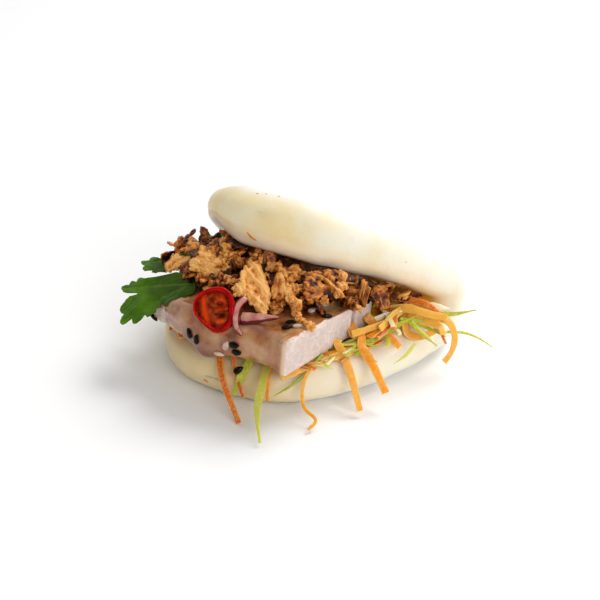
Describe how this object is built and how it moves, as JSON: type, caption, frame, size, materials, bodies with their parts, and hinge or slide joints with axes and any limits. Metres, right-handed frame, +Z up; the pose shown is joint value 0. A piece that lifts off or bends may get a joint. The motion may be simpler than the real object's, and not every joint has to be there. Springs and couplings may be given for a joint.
{
  "type": "gua bao",
  "caption": "Folded steamed bun holding a glazed slab of pork on shredded carrot and greens, under fried onions, chilli, red onion and parsley.",
  "frame": {"origin": "on the flat underside of the bun, below the middle of its mouth", "axes": "+X along the bun's fold, +Y from the mouth to the fold, +Z up"},
  "size_m": [0.1105, 0.1026, 0.06],
  "materials": {
    "steamed_dough": "soft satin, steamed wheat dough",
    "glazed_pork": "thin glossy sauce over pale meat",
    "carrot_and_greens": "moist raw vegetable",
    "fried_onion": "dry and crisp with a little oil",
    "red_chilli": "wet and glossy",
    "red_onion": "moist and slightly clear",
    "parsley": "waxy leaf"
  },
  "bodies": {
    "root": {"bun": "steamed_dough", "pork_slab": "glazed_pork", "slaw": "carrot_and_greens", "fried_onions": "fried_onion", "chilli_slice": "red_chilli", "red_onion_crescent": "red_onion", "red_onion_wedge": "red_onion", "parsley_leaf_large": "parsley", "parsley_leaf_small": "parsley"}
  },
  "joints": []
}
